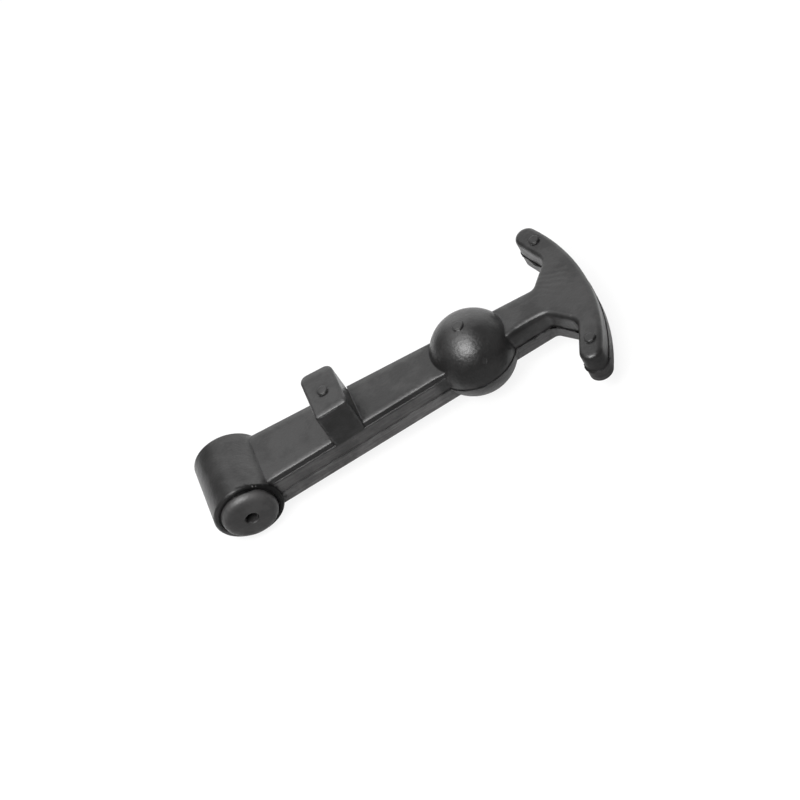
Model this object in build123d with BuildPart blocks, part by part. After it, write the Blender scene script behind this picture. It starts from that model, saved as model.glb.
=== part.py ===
from build123d import *
from math import asin, atan2, cos, degrees, hypot, pi, radians, sin, sqrt, tan
import os

os.makedirs("parts", exist_ok=True)

# A rubber T draw latch: one rubber moulding that stretches from a pivot barrel, past a finger post
# and a retaining ball, to a T handle, and two flanged bushes that line the barrel for its pivot pin.
# +X runs along the strap towards the handle, +Y across it and +Z up through the post.
# The origin is on the barrel's axis, half way along it. Lengths are in millimetres, angles in degrees.

# Strap
strap_thickness = 11.0
bottom_edge = 0.5
strap_root_width = 20.5
strap_side_taper = 2.8
parting_below_middle = 0.7
mould_step = 0.15

# Pads moulded on the strap's top
pad_height = 1.6
pad_inset = 0.3
pad_edge = 0.6

# Finger post
post_from_pivot = 35.3
post_length = 10.2
post_rise = 11.5
post_draft = 0.5
post_far_corner = 2.4
post_near_corner = 1.1
post_top_edge = 0.7

# Retaining ball
ball_from_pivot = 76.7
ball_diameter = 25.0
ball_rise = 0.4

# Neck and T handle
neck_run = 23.1
flare_run = 6.6
flare_width = 26.5
flare_root_radius = 2.5
flare_arm_radius = 4.0
handle_depth = 8.1
handle_span = 56.0
handle_back_radius = 60.0
handle_tip_radius = 3.35
handle_top_edge = 1.4

# Pivot barrel
barrel_diameter = 20.8
barrel_length = 21.8
barrel_end_edge = 0.5
barrel_end_wall = 1.45

# Pivot bushes
bush_seat_diameter = 13.0
bush_middle_gap = 1.0
flange_rise = 2.6
flange_dome = 2.3
flange_seat_depth = 0.8
flange_gap = 0.55
pin_hole_diameter = 4.2

# Mould vent pips
pip_diameter = 3.0
pip_height = 0.45
arm_pip_from_middle = 21.3

# Places that follow from the sizes
strap_top = strap_thickness / 2
strap_bottom = -strap_thickness / 2
parting = -parting_below_middle
pad_foot = strap_top - pad_height
neck_end = ball_from_pivot + neck_run
flare_end = neck_end + flare_run
handle_end = flare_end + handle_depth
post_start = post_from_pivot - post_length / 2
post_end = post_from_pivot + post_length / 2
post_top = strap_top + post_rise
ball_radius = ball_diameter / 2
barrel_radius = barrel_diameter / 2
nearby = 0.01  # how close to its place a corner is looked for


def strap_half_width(x):
    """Half the strap's width at a distance from the pivot."""
    return strap_root_width / 2 - x * tan(radians(strap_side_taper))


# Each arm ends in a round tip that is tangent to the handle's curved back and to the arm's front.
back_centre = handle_end - handle_back_radius
tip_y = handle_span / 2 - handle_tip_radius
tip_x = back_centre + sqrt((handle_back_radius - handle_tip_radius) ** 2 - tip_y**2)
back_angle = atan2(tip_y, tip_x - back_centre)
reach_x = tip_x - flare_end
reach_y = tip_y - flare_width / 2
reach = hypot(reach_x, reach_y)
front_angle = atan2(reach_y, reach_x) + asin(handle_tip_radius / reach)
front_run = sqrt(reach**2 - handle_tip_radius**2)
arm_pip_x = back_centre + sqrt((handle_back_radius - handle_tip_radius) ** 2 - arm_pip_from_middle**2)
crown_angle = (front_angle + pi / 2 + back_angle) / 2
neck_corner = (neck_end, strap_half_width(neck_end))
flare_corner = (flare_end, flare_width / 2)
front_end = (
    flare_end + front_run * cos(front_angle),
    flare_width / 2 + front_run * sin(front_angle),
)
tip_crown = (
    tip_x + handle_tip_radius * cos(crown_angle),
    tip_y + handle_tip_radius * sin(crown_angle),
)
back_end = (
    back_centre + handle_back_radius * cos(back_angle),
    handle_back_radius * sin(back_angle),
)

# Plan of the strap, neck and handle, as the mould's parting line sees them.
with BuildSketch() as latch_plan:
    with BuildLine():
        Line((0, 0), (0, strap_half_width(0)))
        Line((0, strap_half_width(0)), neck_corner)
        Line(neck_corner, flare_corner)
        Line(flare_corner, front_end)
        ThreePointArc(front_end, tip_crown, back_end)
        CenterArc((back_centre, 0), handle_back_radius, 0, degrees(back_angle))
        mirror(about=Plane.XZ)
    make_face()
    necks = latch_plan.vertices().filter_by_position(Axis.X, neck_end - nearby, neck_end + nearby)
    fillet(necks, flare_root_radius)
    flares = latch_plan.vertices().filter_by_position(Axis.X, flare_end - nearby, flare_end + nearby)
    fillet(flares, flare_arm_radius)

# The mould's lower half is a little wider all round, so it stands proud under the parting line.
with BuildPart() as lower_half:
    with BuildSketch(Plane.XY.offset(strap_bottom)):
        add(latch_plan.sketch)
        offset(amount=mould_step - bottom_edge)
    extrude(amount=bottom_edge, taper=-45)
    with BuildSketch(Plane.XY.offset(strap_bottom + bottom_edge)):
        add(latch_plan.sketch)
        offset(amount=mould_step)
    extrude(amount=parting - strap_bottom - bottom_edge)

# The neck and handle keep the full thickness above the parting line, with rounded top edges.
with BuildPart() as handle:
    with BuildSketch(Plane.XY.offset(parting)):
        add(latch_plan.sketch)
        with BuildSketch(mode=Mode.PRIVATE) as strap_side:
            with Locations((ball_from_pivot, 0)):
                Rectangle(2 * handle_end, 2 * handle_span, align=(Align.MAX, Align.CENTER))
        add(strap_side.sketch, mode=Mode.SUBTRACT)
    extrude(amount=strap_top - parting)
    rims = handle.faces().sort_by(Axis.Z)[-1].edges()
    fillet(rims.filter_by_position(Axis.X, ball_from_pivot + nearby, handle_end), handle_top_edge)

# The strap's upper half stops at the crease that the pads stand on.
with BuildPart() as strap:
    with BuildSketch(Plane.XY.offset(parting)):
        with BuildLine():
            strap_edge = Line((0, strap_half_width(0)), (ball_from_pivot, strap_half_width(ball_from_pivot)))
            Line(strap_edge @ 0, (0, 0))
            Line(strap_edge @ 1, (ball_from_pivot, 0))
            mirror(about=Plane.XZ)
        make_face()
    extrude(amount=pad_foot - parting)


def pad_outline(start, end):
    """Corners of a pad's foot between two distances from the pivot."""
    return [
        (start, pad_inset - strap_half_width(start)),
        (end, pad_inset - strap_half_width(end)),
        (end, strap_half_width(end) - pad_inset),
        (start, strap_half_width(start) - pad_inset),
    ]


with BuildPart() as pads:
    with BuildSketch(Plane.XY.offset(pad_foot)):
        with BuildLine():
            Polyline(*pad_outline(0, post_start), close=True)
        make_face()
        with BuildLine():
            Polyline(*pad_outline(post_end, ball_from_pivot), close=True)
        make_face()
    extrude(amount=pad_height)
    crowns = pads.faces().group_by(Axis.Z)[-1].edges()
    fillet(crowns.filter_by(Axis.Y, reverse=True), pad_edge)

# The finger post stands on the crease, the full width of the strap, and draws in towards its top.
with BuildPart() as post:
    with BuildSketch(Plane.XY.offset(pad_foot)) as post_foot:
        with BuildLine():
            Polyline(
                (post_start, -strap_half_width(post_start)),
                (post_end, -strap_half_width(post_end)),
                (post_end, strap_half_width(post_end)),
                (post_start, strap_half_width(post_start)),
                close=True,
            )
        make_face()
        fillet(post_foot.vertices().sort_by(Axis.Y)[:2], post_near_corner)
        fillet(post_foot.vertices().sort_by(Axis.Y)[-2:], post_far_corner)
    extrude(amount=post_top - pad_foot, taper=post_draft)
    fillet(post.faces().sort_by(Axis.Z)[-1].edges(), post_top_edge)

# The barrel lies across the strap's end.
with BuildPart() as barrel:
    with BuildSketch(Plane.XZ):
        Circle(barrel_radius)
    extrude(amount=barrel_length / 2, both=True)
    chamfer(barrel.edges().filter_by(GeomType.CIRCLE), barrel_end_edge)

# The ball's lower half has the mould's step too.
with BuildPart() as ball:
    with Locations((0, 0, ball_rise)):
        Sphere(ball_radius + mould_step)
    split(bisect_by=Plane.XY.offset(parting), keep=Keep.BOTTOM)
    with Locations((0, 0, ball_rise)):
        Sphere(ball_radius)

# Vent pips: short stubs left by the mould on the post, the ball and both arms.
with BuildPart() as pips:
    with Locations((post_from_pivot, 0, post_top + pip_height)):
        Cylinder(pip_diameter / 2, 2 * pip_height, align=(Align.CENTER, Align.CENTER, Align.MAX))
    with Locations((ball_from_pivot, 0, ball_rise + ball_radius + pip_height / 2)):
        Cylinder(pip_diameter / 2, 2 * pip_height, align=(Align.CENTER, Align.CENTER, Align.MAX))
    with Locations((arm_pip_x, arm_pip_from_middle, strap_top), (arm_pip_x, -arm_pip_from_middle, strap_top)):
        Cylinder(pip_diameter / 2, 2 * pip_height)

# Places along the barrel's axis where a bush's flange and spigot end, and its radii.
seat_y = barrel_length / 2 - flange_seat_depth
flange_face_y = barrel_length / 2 + flange_rise
spigot_end_y = bush_middle_gap / 2
counterbore_radius = barrel_radius - barrel_end_wall
flange_radius = counterbore_radius - flange_gap
seat_radius = bush_seat_diameter / 2
pin_hole_radius = pin_hole_diameter / 2

# The whole body is one moulding: strap, pads, post, ball, handle and barrel.
with BuildPart() as latch_body:
    for moulded in (lower_half, strap, pads, handle, post, barrel):
        add(moulded.part)
    with Locations((ball_from_pivot, 0, 0)):
        add(ball.part)
    add(pips.part)
    with BuildSketch(Plane.XZ):
        Circle(seat_radius)
    extrude(amount=barrel_length, both=True, mode=Mode.SUBTRACT)
    for outward in (-1, 1):
        with BuildSketch(Plane(origin=(0, outward * seat_y, 0), z_dir=(0, outward, 0))):
            Circle(counterbore_radius)
        extrude(amount=barrel_length, mode=Mode.SUBTRACT)

latch_body.part.label = "latch_body"
export_step(latch_body.part, "parts/latch_body.step")

# One bush is pressed in from each end: a spigot in the bore under a domed flange on the barrel's end.
for side, outward in (("near", -1), ("far", 1)):
    with BuildPart() as pivot_bush:
        with BuildSketch(Plane.YZ):
            with BuildLine():
                Polyline(
                    (outward * spigot_end_y, 0),
                    (outward * spigot_end_y, seat_radius),
                    (outward * seat_y, seat_radius),
                    (outward * seat_y, flange_radius),
                    (outward * flange_face_y, flange_radius),
                    (outward * flange_face_y, 0),
                    close=True,
                )
            make_face()
        revolve(axis=Axis.Y)
        outer_face = pivot_bush.faces().sort_by(Axis.Y)[-1 if outward > 0 else 0]
        fillet(outer_face.edges(), flange_dome)
        with Locations(Plane.XZ):
            Hole(pin_hole_radius)
    pivot_bush.part.label = f"{side}_pivot_bush"
    export_step(pivot_bush.part, f"parts/{side}_pivot_bush.step")
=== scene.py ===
"""Looks of the rubber T draw latch: one black rubber moulding and the two bushes that line its pivot barrel.

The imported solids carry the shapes. This script dresses them in moulded rubber, adds the thin flash left
along the parting line, round the barrel's mouths and in the bushes' holes, and sets a white studio round it.
Lengths are in metres unless a name ends in _mm. +X runs along the strap to the handle and +Z up its post.
"""

import logging
import math
from dataclasses import dataclass, field
from enum import Enum
from typing import Sequence, Union

import bmesh
import bpy
from mathutils import Matrix, Vector, noise


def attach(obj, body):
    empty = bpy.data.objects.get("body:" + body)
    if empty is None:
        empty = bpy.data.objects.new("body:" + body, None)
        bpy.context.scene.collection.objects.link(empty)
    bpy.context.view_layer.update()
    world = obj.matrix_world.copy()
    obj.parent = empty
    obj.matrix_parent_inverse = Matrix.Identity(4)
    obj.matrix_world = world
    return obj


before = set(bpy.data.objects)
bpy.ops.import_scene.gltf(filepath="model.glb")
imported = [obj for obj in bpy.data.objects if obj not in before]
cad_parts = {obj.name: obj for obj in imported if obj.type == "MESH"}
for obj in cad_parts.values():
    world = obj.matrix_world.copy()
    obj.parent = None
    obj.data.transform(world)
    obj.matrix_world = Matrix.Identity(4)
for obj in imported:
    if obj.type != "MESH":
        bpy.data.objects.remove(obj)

MM = 0.001
PARTING_MM = -0.7
BALL_CENTRE_MM = (76.7, 0.0, 0.4)
MERGE_DISTANCE = 0.001 * MM
WHITE = (1.0, 1.0, 1.0, 1.0)

log = logging.getLogger("draw_latch")

Value = Union[float, "Wire"]


class Ground(Enum):
    """Which of the record's material slots a finish is for."""

    RUBBER = "rubber"
    BUSH = "bush"


class Wire:
    """An output socket that takes part in Python arithmetic: each operator adds one Math node."""

    def __init__(self, board: "Board", socket: bpy.types.NodeSocket) -> None:
        """Wraps a socket.

        Args:
            board: the node tree's builder.
            socket: the output socket to wrap.
        """
        self.board = board
        self.socket = socket

    def __add__(self, other: Value) -> "Wire":
        """Sum."""
        return self.board.math("ADD", self, other)

    def __radd__(self, other: Value) -> "Wire":
        """Sum with a number on the left."""
        return self.board.math("ADD", other, self)

    def __sub__(self, other: Value) -> "Wire":
        """Difference."""
        return self.board.math("SUBTRACT", self, other)

    def __rsub__(self, other: Value) -> "Wire":
        """Difference with a number on the left."""
        return self.board.math("SUBTRACT", other, self)

    def __mul__(self, other: Value) -> "Wire":
        """Product."""
        return self.board.math("MULTIPLY", self, other)

    def __rmul__(self, other: Value) -> "Wire":
        """Product with a number on the left."""
        return self.board.math("MULTIPLY", other, self)


class Board:
    """Builds one node tree: every node that isn't arithmetic comes from its node method."""

    def __init__(self, tree: bpy.types.NodeTree) -> None:
        """Takes a tree and empties it.

        Args:
            tree: the node tree to build.
        """
        self.tree = tree
        tree.nodes.clear()

    def node(
        self,
        kind: str,
        settings: dict[str, object] | None = None,
        values: dict[str | int, object] | None = None,
    ) -> bpy.types.Node:
        """Adds a node, sets its settings, then fills its sockets.

        Args:
            kind: the node's type, without the ShaderNode in front.
            settings: the node's own properties.
            values: a value, a Wire or a socket for each named or numbered input.

        Returns:
            The new node.
        """
        made = self.tree.nodes.new("ShaderNode" + kind)
        for name, setting in (settings or {}).items():
            setattr(made, name, setting)
        for name, value in (values or {}).items():
            self.join(value, made.inputs[name])
        return made

    def join(self, value: object, socket: bpy.types.NodeSocket) -> None:
        """Links or sets one input socket.

        Args:
            value: a Wire, an output socket, a number or a tuple.
            socket: the input to fill.
        """
        if isinstance(value, Wire):
            self.tree.links.new(value.socket, socket)
        elif isinstance(value, bpy.types.NodeSocket):
            self.tree.links.new(value, socket)
        else:
            socket.default_value = value

    def math(self, operation: str, *inputs: Value) -> Wire:
        """Adds a Math node.

        Args:
            operation: the node's operation.
            *inputs: its one to three inputs.

        Returns:
            The node's result.
        """
        made = self.node("Math", {"operation": operation}, dict(enumerate(inputs)))
        return Wire(self, made.outputs["Value"])

    def vector(self, operation: str, *inputs: object) -> bpy.types.Node:
        """Adds a Vector Math node.

        Args:
            operation: the node's operation.
            *inputs: its vectors.

        Returns:
            The new node.
        """
        return self.node("VectorMath", {"operation": operation}, dict(enumerate(inputs)))

    def measure(self, operation: str, *inputs: object) -> Wire:
        """Adds a Vector Math node whose result is a number, such as a distance.

        Args:
            operation: the node's operation.
            *inputs: its vectors.

        Returns:
            The number.
        """
        return Wire(self, self.vector(operation, *inputs).outputs["Value"])

    def ramp(self, value: Value, low: Value, high: Value) -> Wire:
        """Smooth step of a value from 0 at low to 1 at high.

        Args:
            value: what is measured.
            low: where the step starts.
            high: where it ends; it may be under low, which turns the step round.

        Returns:
            The step, from 0 to 1.
        """
        values = {"Value": value, "From Min": low, "From Max": high}
        made = self.node("MapRange", {"interpolation_type": "SMOOTHSTEP"}, values)
        return Wire(self, made.outputs["Result"])

    def ramp_mm(self, value: Value, low_mm: float, high_mm: float) -> Wire:
        """Smooth step of a length from 0 at low_mm to 1 at high_mm.

        Args:
            value: the length in metres.
            low_mm: where the step starts, in millimetres.
            high_mm: where it ends, in millimetres.

        Returns:
            The step, from 0 to 1.
        """
        return self.ramp(value, low_mm * MM, high_mm * MM)

    def noise(self, place: object, size: float, detail: float = 2.0, rough: float = 0.5) -> Wire:
        """Noise of a real size.

        Args:
            place: the vector that the noise reads.
            size: the width of its largest blotches, in metres.
            detail: how many finer layers it has.
            rough: how strong the finer layers are.

        Returns:
            The noise, about 0.5.
        """
        values = {"Vector": place, "Scale": 1.0 / size, "Detail": detail, "Roughness": rough}
        made = self.node("TexNoise", {}, values)
        return Wire(self, made.outputs["Fac"])

    def colour(self, red: Value, green: Value, blue: Value) -> bpy.types.NodeSocket:
        """Joins three numbers into a colour.

        Args:
            red: its red.
            green: its green.
            blue: its blue.

        Returns:
            The colour.
        """
        return self.node("CombineColor", {}, {"Red": red, "Green": green, "Blue": blue}).outputs["Color"]

    def mix(self, share: Wire, first: bpy.types.Node, second: bpy.types.Node) -> bpy.types.NodeSocket:
        """Mixes two shaders.

        Args:
            share: the second shader's share.
            first: a node whose first output is a shader.
            second: another.

        Returns:
            The mixed shader.
        """
        values = {0: share, 1: first.outputs[0], 2: second.outputs[0]}
        return self.node("MixShader", {}, values).outputs["Shader"]


class Place:
    """Where a shader is on its piece: object coordinates, whole and axis by axis."""

    def __init__(self, board: Board) -> None:
        """Reads the coordinates.

        Args:
            board: the tree's builder.
        """
        self.board = board
        self.point = board.node("TexCoord").outputs["Object"]
        axes = board.node("SeparateXYZ", {}, {"Vector": self.point}).outputs
        self.x = Wire(board, axes["X"])
        self.y = Wire(board, axes["Y"])
        self.z = Wire(board, axes["Z"])

    def noise(self, size_mm: float, detail: float = 2.0, rough: float = 0.5) -> Wire:
        """Noise of a real size.

        Args:
            size_mm: the width of its largest blotches.
            detail: how many finer layers it has.
            rough: how strong the finer layers are.

        Returns:
            The noise, about 0.5.
        """
        return self.board.noise(self.point, size_mm * MM, detail, rough)

    def distance(self, centre_mm: tuple[float, float, float]) -> Wire:
        """Distance from a point.

        Args:
            centre_mm: the point.

        Returns:
            The distance in metres.
        """
        return self.board.measure("DISTANCE", self.point, tuple(value * MM for value in centre_mm))

    def distance_in_plan(self, x_mm: float, y_mm: float) -> Wire:
        """Distance from an upright line.

        Args:
            x_mm: the line's x.
            y_mm: the line's y.

        Returns:
            The distance in metres.
        """
        offset = self.board.vector("SUBTRACT", self.point, (x_mm * MM, y_mm * MM, 0.0))
        flat = self.board.vector("MULTIPLY", offset.outputs["Vector"], (1.0, 1.0, 0.0))
        return self.board.measure("LENGTH", flat.outputs["Vector"])


@dataclass(frozen=True)
class Dust:
    """The strap's sides rubbed pale, under the pads."""

    start_mm: float = 9.0
    end_mm: float = 64.5
    end_fade_mm: float = 3.0
    top_mm: float = 3.9
    top_fade_mm: float = 0.8
    even: float = 0.6
    rubbed: float = 0.6
    tone: float = 0.07
    roughness: float = 0.2

    def mask(self, place: Place, rub: Wire) -> Wire:
        """Where the dust lies.

        Args:
            place: where the shader is.
            rub: the rubbed streaks.

        Returns:
            A mask.
        """
        board = place.board
        start = board.ramp_mm(place.x, self.start_mm, self.start_mm + self.end_fade_mm)
        end = board.ramp_mm(place.x, self.end_mm, self.end_mm - self.end_fade_mm)
        under = board.ramp_mm(place.z, self.top_mm, self.top_mm - self.top_fade_mm)
        return start * end * under * (self.even + self.rubbed * rub)


@dataclass(frozen=True)
class MouthDarkening:
    """The barrel's outer surface darkened next to its near end, with a ragged edge, most on the strap's
    side.
    """

    end_mm: float = -10.9
    margin_mm: float = 0.4
    spread_mm: float = 1.0
    fade_mm: float = 0.9
    ragged_mm: float = 3.4
    grain_mm: float = 2.6
    around_mm: tuple[float, float] = (-4.0, 3.0)
    barrel_mm: tuple[float, float] = (12.0, 10.5)
    darkness: float = 0.88

    def mask(self, place: Place) -> Wire:
        """Where the barrel is darkened.

        Args:
            place: where the shader is.

        Returns:
            A mask.
        """
        board = place.board
        edge = place.y + self.ragged_mm * MM * (place.noise(self.grain_mm, 3.0, 0.6) - 0.5)
        around = board.ramp_mm(place.x, *self.around_mm)
        reach = (self.end_mm + self.margin_mm) * MM + self.spread_mm * MM * around
        on_barrel = board.ramp_mm(place.x, *self.barrel_mm)
        return self.darkness * on_barrel * board.ramp(edge, reach, reach - self.fade_mm * MM) * around


@dataclass(frozen=True)
class Crack:
    """The dark, wandering and broken line just above the parting line, strongest beyond the ball."""

    middle_mm: float = PARTING_MM + 0.28
    width_mm: tuple[float, float] = (0.28, 0.08)
    wander_mm: float = 0.7
    wander_grain_mm: float = 3.0
    break_grain_mm: float = 5.0
    breaks: tuple[float, float] = (0.40, 0.54)
    faint: float = 0.35
    strong_from_mm: tuple[float, float] = (80.0, 90.0)
    end_mm: tuple[float, float] = (111.0, 108.5)
    darkness: float = 0.85

    def mask(self, place: Place) -> Wire:
        """Where the line runs.

        Args:
            place: where the shader is.

        Returns:
            A mask.
        """
        board = place.board
        wander = self.wander_mm * MM * (place.noise(self.wander_grain_mm, 3.0, 0.6) - 0.5)
        away = board.math("ABSOLUTE", place.z - wander - self.middle_mm * MM)
        line = board.ramp_mm(away, *self.width_mm)
        broken = board.ramp(place.noise(self.break_grain_mm), *self.breaks)
        strong = self.faint + (1.0 - self.faint) * board.ramp_mm(place.x, *self.strong_from_mm)
        return self.darkness * line * broken * (strong * board.ramp_mm(place.x, *self.end_mm))


@dataclass(frozen=True)
class Crown:
    """How the pads' and the neck's tops fall away towards their long edges."""

    root_half_mm: float = 9.95
    taper: float = 2.8
    width_mm: float = 2.6
    slope: float = 0.5
    ball_mm: tuple[float, float] = (12.6, 16.0)
    start_mm: tuple[float, float] = (7.0, 12.0)
    end_mm: tuple[float, float] = (101.0, 95.0)

    def fall(self, place: Place) -> Wire:
        """How far the top has fallen.

        Args:
            place: where the shader is.

        Returns:
            The fall in metres.
        """
        board = place.board
        width = self.width_mm * MM
        half = self.root_half_mm * MM - math.tan(math.radians(self.taper)) * place.x
        inside = half - board.math("ABSOLUTE", place.y)
        over = board.math("MINIMUM", board.math("MAXIMUM", width - inside, 0.0), width)
        off_ball = board.ramp_mm(place.distance(BALL_CENTRE_MM), *self.ball_mm)
        along = board.ramp_mm(place.x, *self.start_mm) * board.ramp_mm(place.x, *self.end_mm)
        return self.slope / (2.0 * width) * over * over * off_ball * along


@dataclass(frozen=True)
class Pip:
    """A vent pip's torn ring: a broken dark groove round its foot, with painted shade that makes it darkest
    on its near right, the pip's shaded side.
    """

    x_mm: float
    y_mm: float
    radius_mm: float = 1.5
    wall_mm: float = 0.12
    groove_mm: tuple[float, float] = (0.6, 0.25)
    shade_lean: tuple[float, float] = (-0.3, 0.9)
    shade_lean_along: float = 0.35
    far_side: float = 0.2
    grain_mm: float = 1.3
    breaks: tuple[float, float] = (0.38, 0.52)
    depth_mm: float = 0.14
    darkness: float = 0.85

    def mask(self, place: Place) -> Wire:
        """Where the ring is torn, with painted shade leaning to its near right.

        Args:
            place: where the shader is.

        Returns:
            A mask.
        """
        board = place.board
        away = place.distance_in_plan(self.x_mm, self.y_mm)
        outer, inner = (self.radius_mm + reach for reach in self.groove_mm)
        groove = board.ramp_mm(away, self.radius_mm, self.radius_mm + self.wall_mm)
        groove = groove * board.ramp_mm(away, outer, inner)
        # Painted shade: the ring is darker on its near right, where the pip's wall is in shade.
        across = self.shade_lean_along * (place.x - self.x_mm * MM) - (place.y - self.y_mm * MM)
        shade_lean = board.ramp_mm(across, *(share * self.radius_mm for share in self.shade_lean))
        patchy = board.ramp(place.noise(self.grain_mm), *self.breaks)
        return groove * patchy * (self.far_side + (1.0 - self.far_side) * shade_lean)


@dataclass(frozen=True)
class Flow:
    """Faint flow wrinkles that run slantwise across the handle's root."""

    x_mm: float = 106.0
    y_mm: float = 4.0
    radius_mm: float = 8.0
    core: float = 0.35
    slant: float = 38.0
    waves_per_metre: float = 160.0
    distortion: float = 9.0
    detail: float = 2.0
    detail_scale: float = 0.6
    height_mm: float = 0.05

    def relief(self, place: Place) -> Wire:
        """How high the wrinkles stand.

        Args:
            place: where the shader is.

        Returns:
            Their relief in metres.
        """
        board = place.board
        away = place.distance_in_plan(self.x_mm, self.y_mm)
        near = board.ramp_mm(away, self.radius_mm, self.core * self.radius_mm)
        rotation = (0.0, 0.0, math.radians(self.slant))
        turned = board.node("Mapping", {}, {"Vector": place.point, "Rotation": rotation})
        wave = board.node(
            "TexWave",
            {"wave_type": "BANDS", "bands_direction": "Y"},
            {
                "Vector": turned.outputs["Vector"],
                "Scale": self.waves_per_metre,
                "Distortion": self.distortion,
                "Detail": self.detail,
                "Detail Scale": self.detail_scale,
            },
        )
        return self.height_mm * MM * near * Wire(board, wave.outputs["Fac"])


@dataclass(frozen=True)
class Nick:
    """A small ragged nick with a paler floor."""

    centre_mm: tuple[float, float, float]
    radius_mm: float
    paler: float
    ragged: float = 1.4
    grain_mm: float = 0.9
    core: float = 0.6
    depth_mm: float = 0.07

    def mask(self, place: Place) -> Wire:
        """Where the nick is.

        Args:
            place: where the shader is.

        Returns:
            A mask.
        """
        radius = self.radius_mm * MM
        torn = self.ragged * radius * (place.noise(self.grain_mm) - 0.5)
        return place.board.ramp(place.distance(self.centre_mm) + torn, radius, self.core * radius)


@dataclass(frozen=True)
class Pit:
    """The floor of a torn or shaded place, which hardly reflects."""

    tone: float = 0.004
    roughness: float = 0.6
    ior: float = 1.22

    def shader(self, board: Board, normal: bpy.types.NodeSocket) -> bpy.types.Node:
        """Adds the pit's shader.

        Args:
            board: the tree's builder.
            normal: the bumped normal.

        Returns:
            The shader's node.
        """
        colour = (self.tone, self.tone, self.tone, 1.0)
        values = {"Base Color": colour, "Roughness": self.roughness, "IOR": self.ior, "Normal": normal}
        return board.node("BsdfPrincipled", {}, values)


@dataclass
class Coat:
    """What a rubber's shader reads, gathered layer by layer."""

    tone: Wire
    roughness: Wire
    dark: Wire
    height: Wire

    def darken(self, mask: Wire) -> None:
        """Lets the pit show through where a mask is higher than what is dark already."""
        self.dark = mask.board.math("MAXIMUM", self.dark, mask)


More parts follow.
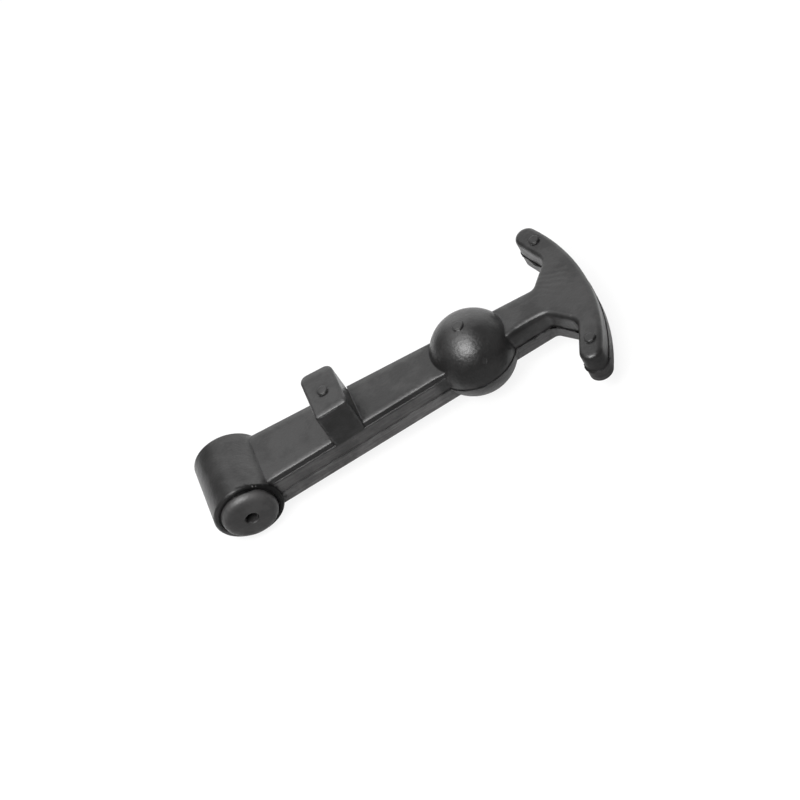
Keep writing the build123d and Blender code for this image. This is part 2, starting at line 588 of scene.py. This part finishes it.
@dataclass(frozen=True)
class MouldedRubber:
    """Black moulded rubber: a fine matt grain, soft blotches and a faintly wavy skin."""

    name: str
    tone: float = 0.014
    warmth: float = 1.03
    ior: float = 1.6
    mottle: float = 0.7
    grain_mottle: float = 0.25
    roughness: float = 0.37
    roughness_spread: float = 0.24
    grain_mm: float = 0.7
    grain_height_mm: float = 0.05
    skin_mm: float = 2.8
    skin_height_mm: float = 0.11
    blotch_mm: float = 9.0
    blotch_dark: float = 0.22
    blotch_range: tuple[float, float] = (0.58, 0.38)
    streak_mm: float = 1.1
    streak_stretch: tuple[float, float, float] = (0.12, 0.5, 1.6)
    streak_height_mm: float = 0.05
    streak_least: float = 0.25
    rub_range: tuple[float, float] = (0.42, 0.66)
    rub_shares: tuple[float, float] = (0.6, 0.4)
    parting_mm: float = PARTING_MM
    band_edge_mm: tuple[float, float] = (0.1, -0.2)
    band_lift: float = 0.5
    band_lift_least: float = 0.4
    band_dust: float = 0.03
    band_dust_least: float = 0.3
    band_roughness: float = 0.08
    edge_round_mm: float = 0.7
    edge_samples: int = 6
    pit: Pit = Pit()
    dust: Dust | None = None
    mouth_darkening: MouthDarkening | None = None
    crack: Crack | None = None
    crown: Crown | None = None
    flow: Flow | None = None
    pips: tuple[Pip, ...] = ()
    nicks: tuple[Nick, ...] = ()

    def make(self) -> bpy.types.Material:
        """Builds the material.

        Returns:
            The new material.
        """
        made = bpy.data.materials.new(self.name)
        made.use_nodes = True
        board = Board(made.node_tree)
        place = Place(board)
        coat = self._coat(place)
        red = coat.tone * self.warmth
        bevel = board.node("Bevel", {"samples": self.edge_samples}, {"Radius": self.edge_round_mm * MM})
        rounded = bevel.outputs["Normal"]
        relief = {"Height": coat.height, "Strength": 1.0, "Distance": 1.0, "Normal": rounded}
        normal = board.node("Bump", {}, relief).outputs["Normal"]
        values = {
            "Base Color": board.colour(red, coat.tone, coat.tone),
            "Roughness": coat.roughness,
            "Normal": normal,
            "IOR": self.ior,
        }
        surface = board.node("BsdfPrincipled", {}, values)
        mixed = board.mix(coat.dark, surface, self.pit.shader(board, normal))
        board.node("OutputMaterial", {}, {"Surface": mixed})
        return made

    def _coat(self, place: Place) -> Coat:
        """Gathers the rubber's tone, sheen, darkness and relief.

        Args:
            place: where the shader is.

        Returns:
            The whole coat.
        """
        board = place.board
        grain = place.noise(self.grain_mm, 3.0, 0.6)
        skin = place.noise(self.skin_mm)
        blotch = place.noise(self.blotch_mm, 4.0, 0.6)
        mapping = board.node("Mapping", {}, {"Vector": place.point, "Scale": self.streak_stretch})
        streak = board.noise(mapping.outputs["Vector"], self.streak_mm * MM, 3.0, 0.6)
        edge_from, edge_to = (self.parting_mm + edge for edge in self.band_edge_mm)
        band = board.ramp_mm(place.z, edge_from, edge_to)
        streak_share, blotch_share = self.rub_shares
        rub = board.ramp(streak * streak_share + blotch * blotch_share, *self.rub_range)
        tone = self.tone * (1.0 + self.mottle * (blotch - 0.5)) * (1.0 + self.grain_mottle * (grain - 0.5))
        tone = tone * (1.0 + self.band_lift * band * (self.band_lift_least + rub))
        height = self.skin_height_mm * MM * skin + self.grain_height_mm * MM * grain * (1.0 + band)
        coat = Coat(
            tone=tone + self.band_dust * band * (self.band_dust_least + rub),
            roughness=self.roughness + self.roughness_spread * (blotch - 0.5) + self.band_roughness * band,
            dark=self.blotch_dark * board.ramp(blotch, *self.blotch_range),
            height=height + self.streak_height_mm * MM * streak * (self.streak_least + band),
        )
        self._wear(coat, place, rub)
        return coat

    def _wear(self, coat: Coat, place: Place, rub: Wire) -> None:
        """Adds what the mould and use have left on the rubber.

        Args:
            coat: the coat, which is changed.
            place: where the shader is.
            rub: the rubbed streaks.
        """
        if self.dust:
            dusty = self.dust.mask(place, rub)
            coat.tone = coat.tone + self.dust.tone * dusty
            coat.roughness = coat.roughness + self.dust.roughness * dusty
        if self.mouth_darkening:
            # The barrel is painted darker next to its near mouth, most on the strap's side.
            coat.darken(self.mouth_darkening.mask(place))
        if self.crack:
            coat.darken(self.crack.mask(place))
        for pip in self.pips:
            torn = pip.mask(place)
            coat.height = coat.height - pip.depth_mm * MM * torn
            # Painted shade: each pip's ring is painted dark, most on its near right.
            coat.darken(pip.darkness * torn)
        if self.crown:
            coat.height = coat.height - self.crown.fall(place)
        if self.flow:
            coat.height = coat.height + self.flow.relief(place)
        for nick in self.nicks:
            torn = nick.mask(place)
            coat.height = coat.height - nick.depth_mm * MM * torn
            coat.tone = coat.tone + nick.paler * torn
            coat.dark = coat.dark * (1.0 - torn)


@dataclass(frozen=True)
class Ragged:
    """How far a flash stands out from place to place: thin all along, with torn stretches.

    Args:
        least_mm: the least reach.
        most_mm: the most, where it has torn.
        grain_mm: the length of a torn stretch.
        seed: shifts the noise, so that no two flashes look alike.
        torn_x_mm: between which two distances from the pivot it has torn in full.
        calm: the share of the tearing elsewhere.
    """

    least_mm: float
    most_mm: float
    grain_mm: float
    seed: float
    torn_x_mm: tuple[float, float] = (-1000.0, 1000.0)
    calm: float = 1.0

    def at(self, place: Vector) -> float:
        """The flash's reach at a place.

        Args:
            place: the place.

        Returns:
            The reach in metres.
        """
        least = self.least_mm * MM
        most = self.most_mm * MM
        grain = self.grain_mm * MM
        shift = Vector((self.seed, -self.seed, 0.37 * self.seed))
        coarse = noise.noise(place / grain + shift)
        fine = noise.noise(place * 5.0 / grain + shift)
        share = min(max(0.5 + 1.1 * coarse + 0.5 * fine, 0.0), 1.0)
        torn = self.torn_x_mm[0] * MM < place.x < self.torn_x_mm[1] * MM
        return least + (most - least) * share * (1.0 if torn else self.calm)


def save_mesh(
    bm: bmesh.types.BMesh,
    name: str,
    material: bpy.types.Material,
) -> bpy.types.Object:
    """Turns a finished bmesh into a piece that rides on the latch.

    Args:
        bm: the mesh, which is freed.
        name: the piece's name.
        material: its finish.

    Returns:
        The new object.
    """
    bmesh.ops.recalc_face_normals(bm, faces=bm.faces)
    mesh = bpy.data.meshes.new(name)
    bm.to_mesh(mesh)
    bm.free()
    mesh.materials.append(material)
    for face in mesh.polygons:
        face.use_smooth = True
    piece = bpy.data.objects.new(name, mesh)
    bpy.context.scene.collection.objects.link(piece)
    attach(piece, "root")
    log.info("%s: %d faces", name, len(mesh.polygons))
    return piece


@dataclass
class Moulding:
    """The one-piece latch body: strap, pads, post, ball, handle and barrel."""

    node: str = "latch_body"
    cut_mm: float = PARTING_MM - 0.03
    cut_tolerance_mm: float = 0.005
    barrel_reach_mm: float = 10.2
    step_mm: float = 0.6
    sink_mm: float = 0.12
    half_thick_mm: float = 0.09
    fin: Ragged = Ragged(0.02, 0.5, 4.0, seed=3.1, torn_x_mm=(88.0, 109.0), calm=0.3)

    def dress(self, nodes: dict[str, bpy.types.Object], rubber: bpy.types.Material) -> None:
        """Gives the body its rubber and its flash.

        Args:
            nodes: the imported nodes.
            rubber: the finish.
        """
        nodes[self.node].material_slots[0].material = rubber
        log.info("%s: rubber finish", self.node)
        self.build_parting_flash(nodes[self.node].data, rubber)

    def low_points(self, nodes: dict[str, bpy.types.Object]) -> tuple[Vector, Vector]:
        """Finds the two places that the latch rests on.

        Args:
            nodes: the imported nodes.

        Returns:
            The barrel's lowest point and the ball's, both half way across the strap.
        """
        places = [vert.co for vert in nodes[self.node].data.vertices]
        barrel_low = min((co for co in places if co.x < 5.0 * MM), key=lambda co: co.z)
        ball_low = min(places, key=lambda co: co.z)
        return Vector((0.0, 0.0, barrel_low.z)), Vector((ball_low.x, 0.0, ball_low.z))

    def _outline(self, body: bpy.types.Mesh) -> bmesh.types.BMesh:
        """Cuts a copy of the body just under the parting line.

        Args:
            body: the body's mesh.

        Returns:
            The lower half, with its cut outline in short steps.
        """
        bm = bmesh.new()
        bm.from_mesh(body)
        bmesh.ops.remove_doubles(bm, verts=bm.verts, dist=MERGE_DISTANCE)
        bmesh.ops.bisect_plane(
            bm,
            geom=[*bm.verts, *bm.edges, *bm.faces],
            dist=0.0,
            plane_co=(0, 0, self.cut_mm * MM),
            plane_no=(0, 0, 1),
            clear_outer=True,
        )
        for cuts in (15, 7, 3, 1):
            longest = self.step_mm * MM * (cuts + 1) / 2
            long = [edge for edge in self._rim(bm) if edge.calc_length() > longest]
            bmesh.ops.subdivide_edges(bm, edges=long, cuts=cuts)
        return bm

    def _rim(self, bm: bmesh.types.BMesh) -> list[bmesh.types.BMEdge]:
        """The cut outline's edges beyond the barrel.

        Args:
            bm: the lower half.

        Returns:
            The edges.
        """
        height = self.cut_mm * MM
        tolerance = self.cut_tolerance_mm * MM
        start = self.barrel_reach_mm * MM
        return [
            edge
            for edge in bm.edges
            if edge.is_boundary
            and all(abs(vert.co.z - height) < tolerance and vert.co.x > start for vert in edge.verts)
        ]

    def build_parting_flash(self, body: bpy.types.Mesh, rubber: bpy.types.Material) -> None:
        """Builds the thin ragged fin that the mould leaves along its parting line.

        Args:
            body: the body's mesh.
            rubber: the finish.
        """
        half = self._outline(body)
        bm = bmesh.new()
        made: dict[int, bmesh.types.BMVert] = {}
        outward: dict[bmesh.types.BMVert, Vector] = {}
        half.verts.index_update()
        for edge in self._rim(half):
            ends = []
            for vert in edge.verts:
                if vert.index not in made:
                    made[vert.index] = bm.verts.new(vert.co)
                    outward[made[vert.index]] = Vector((0.0, 0.0, 0.0))
                ends.append(made[vert.index])
                normal = edge.link_faces[0].normal
                outward[made[vert.index]] += Vector((normal.x, normal.y, 0.0)).normalized()
            bm.edges.new(ends)
        half.free()
        sections = {vert: (vert.co.copy(), way.normalized()) for vert, way in outward.items()}
        self._sweep(bm, sections)
        save_mesh(bm, "parting_flash", rubber)

    def _sweep(
        self,
        bm: bmesh.types.BMesh,
        sections: dict[bmesh.types.BMVert, tuple[Vector, Vector]],
    ) -> None:
        """Sweeps a thin wedge along the outline: foot below, tip, foot above, and back.

        Args:
            bm: the mesh, which holds the outline's edges.
            sections: each vertex's place and outward direction.
        """
        rise = Vector((0.0, 0.0, self.half_thick_mm * MM))
        foot = -self.sink_mm * MM
        steps = ((foot, -1.0), (None, 0.0), (foot, 1.0), (foot, -1.0))
        edges = list(bm.edges)
        current = sections
        for number, (reach, lift) in enumerate(steps):
            if number:
                placed = {self._key(vert.co): current[vert] for vert in current}
                made = bmesh.ops.extrude_edge_only(bm, edges=edges)["geom"]
                fresh = [item for item in made if isinstance(item, bmesh.types.BMVert)]
                edges = [
                    item
                    for item in made
                    if isinstance(item, bmesh.types.BMEdge) and all(vert in fresh for vert in item.verts)
                ]
                current = {vert: placed[self._key(vert.co)] for vert in fresh}
            for vert, (place, way) in current.items():
                out = self.fin.at(place) if reach is None else reach
                vert.co = place + way * out + rise * lift
        bmesh.ops.remove_doubles(bm, verts=bm.verts, dist=MERGE_DISTANCE)
        bmesh.ops.holes_fill(bm, edges=bm.edges, sides=4)

    @staticmethod
    def _key(place: Vector) -> tuple[int, int, int]:
        """A place as whole tenths of a micrometre, to find it again."""
        return tuple(round(value * 1e7) for value in place)


@dataclass
class PivotBushes:
    """The two flanged bushes, one in each end of the barrel, and the flash round them."""

    nodes: tuple[str, ...] = ("near_pivot_bush", "far_pivot_bush")
    lip_radius_mm: float = 9.04
    lip_top_mm: float = 10.9
    lip_root_mm: float = 0.3
    lip_thick_mm: float = 0.1
    lip_lean: float = 0.4
    lip_least: float = 0.6
    lip_seed: float = 7.7
    lip_segments: int = 220
    web_radius_mm: float = 2.15
    web_top_mm: float = 13.5
    web_root_mm: float = 0.35
    web_thick_mm: float = 0.14
    web_least: float = 0.65
    web_seed: float = 2.3
    web_segments: int = 90

    def dress(
        self,
        nodes: dict[str, bpy.types.Object],
        finish: bpy.types.Material,
        rubber: bpy.types.Material,
    ) -> None:
        """Gives both bushes their finish, and the barrel's mouths and the bushes' holes their flash.

        Args:
            nodes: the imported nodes.
            finish: the bushes' finish.
            rubber: the barrel's finish.
        """
        for name, outward in zip(self.nodes, (-1.0, 1.0)):
            nodes[name].material_slots[0].material = finish
            log.info("%s: bush finish", name)
            side = name.split("_")[0]
            self.build_mouth_flash(f"{side}_mouth_flash", outward, rubber)
            self.build_hole_flash(f"{side}_hole_flash", outward, finish)

    @staticmethod
    def _sleeve(
        radius_mm: float,
        y_mm: float,
        segments: int,
    ) -> tuple[bmesh.types.BMesh, list[bmesh.types.BMVert]]:
        """A ring round the barrel's axis, extruded in place so that its new edge can be moved.

        Args:
            radius_mm: its radius.
            y_mm: its place along the axis.
            segments: how many edges it has.

        Returns:
            The new mesh, and its new edge's vertices.
        """
        bm = bmesh.new()
        bmesh.ops.create_circle(bm, segments=segments, radius=radius_mm * MM)
        bmesh.ops.rotate(bm, verts=bm.verts, cent=(0, 0, 0), matrix=Matrix.Rotation(math.pi / 2, 3, "X"))
        bmesh.ops.translate(bm, verts=bm.verts, vec=(0, y_mm * MM, 0))
        made = bmesh.ops.extrude_edge_only(bm, edges=bm.edges)["geom"]
        return bm, [item for item in made if isinstance(item, bmesh.types.BMVert)]

    @staticmethod
    def _thicken(bm: bmesh.types.BMesh, thick_mm: float) -> None:
        """Gives a sheet its thickness.

        Args:
            bm: the sheet.
            thick_mm: the thickness.
        """
        bm.normal_update()
        bmesh.ops.solidify(bm, geom=bm.faces, thickness=thick_mm * MM)

    def build_mouth_flash(self, name: str, outward: float, rubber: bpy.types.Material) -> None:
        """Builds the torn lip round the inside of one of the barrel's mouths.

        Args:
            name: the piece's name.
            outward: -1 for the near end, 1 for the far end.
            rubber: the finish.
        """
        ragged = Ragged(0.02, 0.6, 3.2, seed=self.lip_seed + outward)
        root = self.lip_top_mm - self.lip_root_mm
        bm, edge = self._sleeve(self.lip_radius_mm, outward * root, self.lip_segments)
        for vert in edge:
            radial = Vector((vert.co.x, 0.0, vert.co.z)).normalized()
            reach = ragged.at(vert.co) * (self.lip_least + (1.0 - self.lip_least) * radial.x)
            rise = Vector((0.0, outward * (self.lip_root_mm * MM + reach), 0.0))
            vert.co += rise - radial * self.lip_lean * reach
        self._thicken(bm, self.lip_thick_mm)
        save_mesh(bm, name, rubber)

    def build_hole_flash(self, name: str, outward: float, finish: bpy.types.Material) -> None:
        """Builds the torn web left just inside a bush's hole.

        Args:
            name: the piece's name.
            outward: -1 for the near end, 1 for the far end.
            finish: the finish.
        """
        ragged = Ragged(0.0, 0.9, 1.7, seed=self.web_seed + outward)
        root = self.web_top_mm - self.web_root_mm
        bm, edge = self._sleeve(self.web_radius_mm, outward * root, self.web_segments)
        for vert in edge:
            radial = Vector((vert.co.x, 0.0, vert.co.z)).normalized()
            slant = (radial.x + radial.z) / math.sqrt(2.0)
            vert.co -= radial * ragged.at(vert.co) * (self.web_least + (1.0 - self.web_least) * slant)
        self._thicken(bm, self.web_thick_mm)
        save_mesh(bm, name, finish)


def direction(azimuth: float, elevation: float) -> Vector:
    """The direction from the latch towards a camera or a lamp.

    Args:
        azimuth: the angle round +Z from -Y, towards +X, in degrees.
        elevation: the angle over the horizon, in degrees.

    Returns:
        A unit vector.
    """
    around = math.radians(azimuth)
    over = math.radians(elevation)
    level = math.cos(over)
    return Vector((math.sin(around) * level, -math.cos(around) * level, math.sin(over)))


@dataclass
class Viewpoint:
    """The camera's place, given by what it aims at and the angles it looks from."""

    aim_mm: tuple[float, float, float] = (52.0, -1.97, 0.0)
    distance_mm: float = 652.6
    azimuth: float = 6.56
    elevation: float = 47.758
    roll: float = 34.303
    lens: float = 104.01
    sensor: float = 36.0

    def build(self) -> bpy.types.Object:
        """Makes the scene's camera.

        Returns:
            The camera.
        """
        roll = math.radians(self.roll)
        back = direction(self.azimuth, self.elevation)
        side = Vector((0.0, 0.0, 1.0)).cross(back).normalized()
        lift = back.cross(side)
        up = math.cos(roll) * lift + math.sin(roll) * side
        right = up.cross(back)
        data = bpy.data.cameras.new("camera")
        data.lens = self.lens
        data.sensor_width = self.sensor
        camera = bpy.data.objects.new("camera", data)
        place = Vector(self.aim_mm) * MM + back * self.distance_mm * MM
        turn = Matrix((right, up, back)).transposed().to_4x4()
        camera.matrix_world = Matrix.Translation(place) @ turn
        bpy.context.scene.collection.objects.link(camera)
        bpy.context.scene.camera = camera
        log.info("camera: azimuth %.1f, elevation %.1f, roll %.1f", self.azimuth, self.elevation, self.roll)
        return camera


@dataclass(frozen=True)
class Lamp:
    """One soft rectangular lamp, placed by the direction it shines from."""

    name: str
    azimuth: float
    elevation: float
    distance: float
    width: float
    height: float
    power: float

    def build(self, aim: Vector) -> None:
        """Makes the lamp.

        Args:
            aim: the point that it faces.
        """
        back = direction(self.azimuth, self.elevation)
        data = bpy.data.lights.new(self.name, "AREA")
        data.shape = "RECTANGLE"
        data.size = self.width
        data.size_y = self.height
        data.energy = self.power
        lamp = bpy.data.objects.new(self.name, data)
        turn = back.to_track_quat("Z", "Y").to_matrix().to_4x4()
        lamp.matrix_world = Matrix.Translation(aim + back * self.distance) @ turn
        bpy.context.scene.collection.objects.link(lamp)
        log.info("%s: %.1f W", self.name, self.power)


@dataclass
class Studio:
    """A white floor, soft lamps, white surroundings and the camera.

    The floor and the surroundings show as white to the camera. The latch sees a darker floor and
    surroundings that are grey in front and bright behind. In its reflections the floor's colour is painted:
    white from just in front of it backwards, as painted light, and dark further in front, as painted shade.
    """

    view: Viewpoint = field(default_factory=Viewpoint)
    lamps: tuple[Lamp, ...] = (
        Lamp("key_lamp", azimuth=-22.0, elevation=60.0, distance=0.7, width=0.38, height=0.28, power=4.5),
        Lamp("top_lamp", azimuth=-50.0, elevation=79.0, distance=0.7, width=0.5, height=0.5, power=3.0),
        Lamp("back_lamp", azimuth=202.0, elevation=54.0, distance=0.8, width=0.45, height=0.30, power=0.5),
    )
    floor_size: float = 3.0
    floor_tone: float = 0.8
    floor_roughness: float = 0.9
    shade_kept: float = 0.16
    glow: float = 1.04
    bounce_tone: float = 0.2
    painted_lit_mm: tuple[float, float] = (-22.0, -10.0)
    surround: float = 0.2
    surround_range: tuple[float, float] = (0.75, 0.2)
    backdrop: float = 1.5
    backdrop_range: tuple[float, float] = (-0.42, -0.95)
    front_azimuth: float = -20.0

    def build_floor(self, body_low: Vector, ball_low: Vector) -> None:
        """Lays the floor so that it touches the barrel and the ball.

        Args:
            body_low: the barrel's lowest point.
            ball_low: the ball's lowest point.
        """
        bm = bmesh.new()
        bmesh.ops.create_grid(bm, x_segments=1, y_segments=1, size=self.floor_size / 2)
        slope = math.atan2(body_low.z - ball_low.z, ball_low.x - body_low.x)
        bmesh.ops.rotate(bm, verts=bm.verts, cent=(0, 0, 0), matrix=Matrix.Rotation(slope, 3, "Y"))
        bmesh.ops.translate(bm, verts=bm.verts, vec=body_low)
        mesh = bpy.data.meshes.new("floor")
        bm.to_mesh(mesh)
        bm.free()
        floor = bpy.data.objects.new("floor", mesh)
        bpy.context.scene.collection.objects.link(floor)
        mesh.materials.append(self._paper())
        log.info("floor: slope %.2f degrees", math.degrees(slope))

    def _paper(self) -> bpy.types.Material:
        """Makes white paper that keeps a share of the shade on it. Seen in reflections, its colour is
        painted: white from just in front of the latch backwards, as painted light, and dark further in
        front, as painted shade.

        Returns:
            The new material.
        """
        made = bpy.data.materials.new("white_paper")
        made.use_nodes = True
        board = Board(made.node_tree)
        path = board.node("LightPath").outputs
        seen = Wire(board, path["Is Camera Ray"])
        # Painted light and shade: in reflections the floor's colour is white behind this band and dark in
        # front of it.
        painted_lit = board.ramp_mm(Place(board).y, *self.painted_lit_mm)
        white = board.math("MAXIMUM", seen, painted_lit * Wire(board, path["Is Glossy Ray"]))
        tone = self.bounce_tone + (self.floor_tone - self.bounce_tone) * white
        values = {"Base Color": board.colour(tone, tone, tone), "Roughness": self.floor_roughness}
        paper = board.node("BsdfPrincipled", {}, values)
        glow = board.node("Emission", {}, {"Color": WHITE, "Strength": self.glow})
        mixed = board.mix(seen * (1.0 - self.shade_kept), paper, glow)
        board.node("OutputMaterial", {}, {"Surface": mixed})
        return made

    def build_world(self) -> None:
        """Makes the surroundings: white where the camera sees them, soft grey as a light."""
        world = bpy.data.worlds.new("surround")
        world.use_nodes = True
        bpy.context.scene.world = world
        board = Board(world.node_tree)
        front = tuple(direction(self.front_azimuth, 0.0))
        ahead = board.measure("DOT_PRODUCT", board.node("TexCoord").outputs["Generated"], front)
        tent = self.surround * board.ramp(ahead, *self.surround_range)
        tent = tent + self.backdrop * board.ramp(ahead, *self.backdrop_range)
        seen = Wire(board, board.node("LightPath").outputs["Is Camera Ray"])
        strength = tent + (1.0 - tent) * seen
        glow = board.node("Background", {}, {"Color": WHITE, "Strength": strength})
        board.node("OutputWorld", {}, {"Surface": glow.outputs["Background"]})

    def build(self, body_low: Vector, ball_low: Vector) -> None:
        """Makes the whole studio.

        Args:
            body_low: the barrel's lowest point.
            ball_low: the ball's lowest point.
        """
        self.view.build()
        self.build_floor(body_low, ball_low)
        self.build_world()
        aim = Vector(self.view.aim_mm) * MM
        for lamp in self.lamps:
            lamp.build(aim)
        bpy.context.scene.view_settings.view_transform = "Standard"


BODY_RUBBER = MouldedRubber(
    "moulded_rubber",
    dust=Dust(),
    mouth_darkening=MouthDarkening(),
    crack=Crack(),
    crown=Crown(),
    flow=Flow(),
    pips=(Pip(35.3, 0.0), Pip(76.7, 0.0), Pip(106.98, 21.3), Pip(106.98, -21.3)),
    nicks=(
        Nick((78.6, -10.6, 6.6), radius_mm=1.0, paler=0.004),
        Nick((5.2, -10.95, 8.8), radius_mm=0.5, paler=0.07),
        Nick((6.0, -10.95, 8.2), radius_mm=0.35, paler=0.05),
    ),
)
BUSH_RUBBER = MouldedRubber(
    "bush_rubber",
    tone=0.045,
    roughness=0.5,
    ior=1.68,
    parting_mm=-50.0,
    streak_height_mm=0.0,
)


def main() -> None:
    """Builds the scene piece by piece."""
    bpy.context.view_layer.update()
    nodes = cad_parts
    rubber = BODY_RUBBER.make()
    moulding = Moulding()
    moulding.dress(nodes, rubber)
    PivotBushes().dress(nodes, BUSH_RUBBER.make(), rubber)
    Studio().build(*moulding.low_points(nodes))


if __name__ == "__main__":
    logging.basicConfig(level=logging.INFO, format="%(name)s: %(message)s")
    main()
